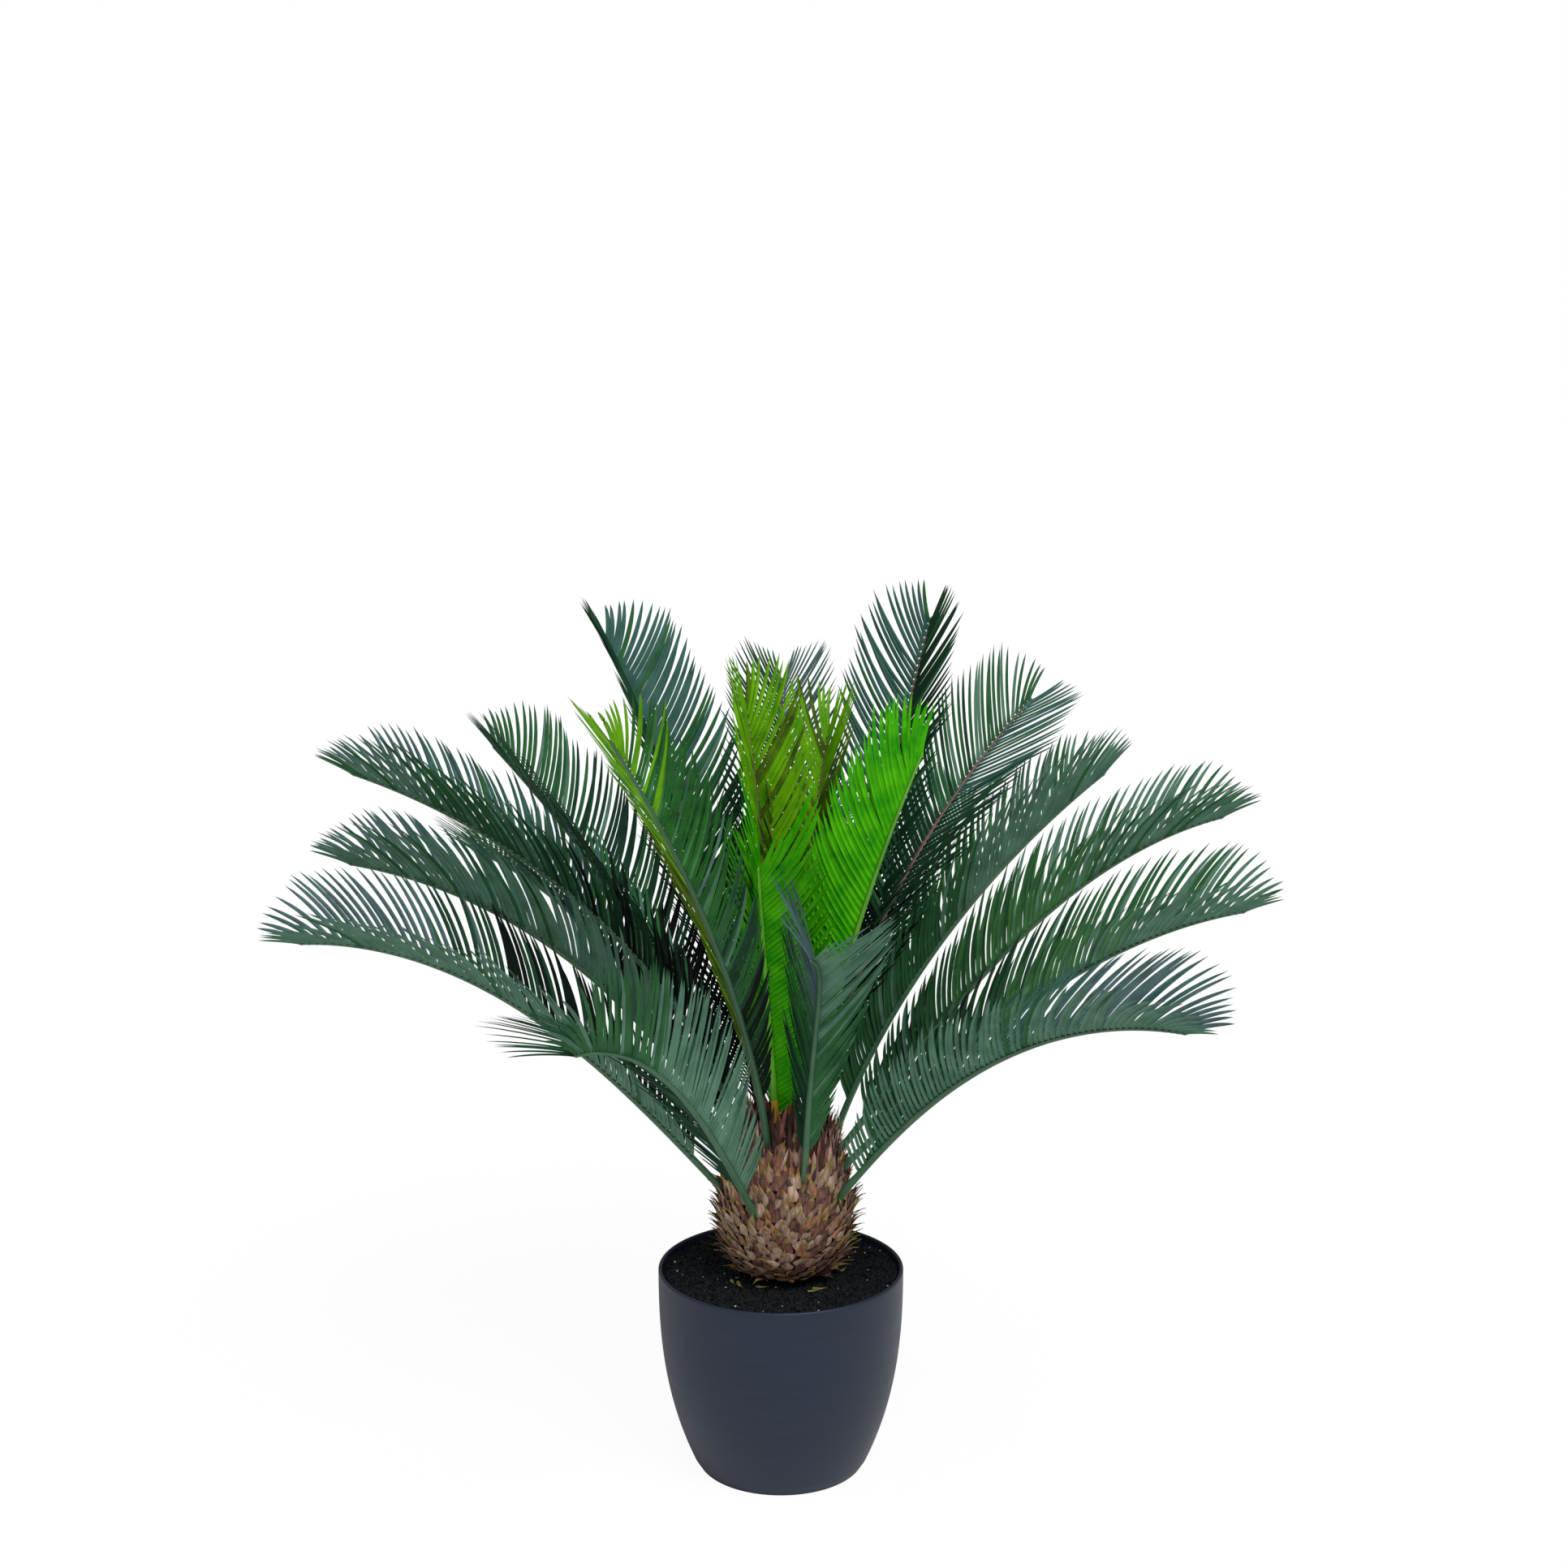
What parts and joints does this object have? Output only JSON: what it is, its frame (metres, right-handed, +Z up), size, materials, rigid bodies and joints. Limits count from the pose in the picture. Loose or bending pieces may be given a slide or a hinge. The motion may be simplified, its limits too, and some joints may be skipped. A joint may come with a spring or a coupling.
{
  "type": "potted artificial sago palm",
  "caption": "Artificial sago palm in a round dark plastic pot: feather-shaped fronds with pointed, raised leaflets arch out of a scaly, bulb-shaped trunk that stands on black soil.",
  "frame": {"origin": "centre of the pot's flat underside, on the surface that the plant stands on", "axes": "+Z up along the pot's axis; -Y is the front, the side that the camera saw; +X is to the right as seen from the front"},
  "size_m": [0.823, 0.7532, 0.7485],
  "materials": {
    "pot": "satin",
    "soil": "matte",
    "trunk": "matte",
    "frond": "matte",
    "young_frond": "matte"
  },
  "bodies": {
    "root": {"pot": "pot", "soil": "soil", "trunk": "trunk", "frond_left_low": "frond", "frond_left_middle": "frond", "frond_left_high": "frond", "frond_left_steep": "frond", "frond_left_top": "frond", "frond_front_left_high": "frond", "frond_front_left_low": "frond", "frond_front": "frond", "frond_back_top": "frond", "frond_right_top": "frond", "frond_right_steep": "frond", "frond_right_high": "frond", "frond_right_middle": "frond", "frond_right_low": "frond", "frond_front_right_low": "frond", "frond_back_left_low": "frond", "frond_back_left": "frond", "frond_back": "frond", "frond_back_right": "frond", "young_frond_left": "young_frond", "young_frond_back": "young_frond", "young_frond_right": "young_frond", "young_frond_front": "young_frond"}
  },
  "joints": []
}
